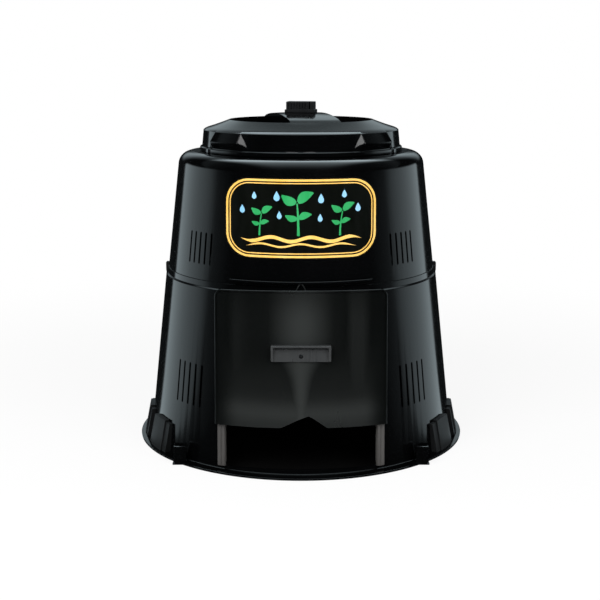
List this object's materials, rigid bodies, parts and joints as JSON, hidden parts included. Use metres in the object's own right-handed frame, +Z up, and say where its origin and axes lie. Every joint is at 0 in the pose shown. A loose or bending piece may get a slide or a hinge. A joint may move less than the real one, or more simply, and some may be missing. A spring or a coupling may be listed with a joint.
{
  "type": "compost bin",
  "caption": "Tapered round compost bin in two halves with a domed lift-off lid, air vents, a flanged foot and a sliding front door for taking out compost.",
  "frame": {"origin": "centre of the base, on the ground", "axes": "+Z up; the harvest door faces -Y; +X is to the right seen from the front"},
  "size_m": [0.8378, 0.8378, 0.8515],
  "materials": {
    "gloss_black": "glossy moulded",
    "satin_black": "satin moulded",
    "satin_grey": "satin moulded",
    "matte_black": "matte moulded",
    "rail_grey": "matte",
    "screw_steel": "dark zinc",
    "label_print": "printed film"
  },
  "bodies": {
    "bin": {"lower_body": "gloss_black", "upper_body": "gloss_black", "door_rail_left": "rail_grey", "door_rail_right": "rail_grey", "joint_clip_left": "matte_black", "joint_clip_right": "matte_black", "joint_clip_rear": "matte_black", "foot_block_1": "matte_black", "foot_block_2": "matte_black", "foot_block_3": "matte_black", "foot_block_4": "matte_black", "foot_block_5": "matte_black", "foot_block_6": "matte_black", "foot_block_7": "matte_black", "foot_block_8": "matte_black", "foot_block_9": "matte_black", "front_label": "label_print"},
    "lid": {"lid": "gloss_black", "lid_handle": "matte_black", "lid_handle_screws": "screw_steel"},
    "door": {"harvest_door": "satin_black", "door_pull": "satin_grey", "door_pull_screw": "screw_steel", "door_latch_loop": "satin_black"}
  },
  "joints": [
    {"name": "door_slide", "type": "slide", "parent": "bin", "child": "door", "axis": [0, 0.1093, 0.994], "range_m": [-0.106, 0]},
    {"name": "lid_lift", "type": "slide", "parent": "bin", "child": "lid", "axis": [0, 0, 1], "range_m": [0, 0.3]}
  ]
}
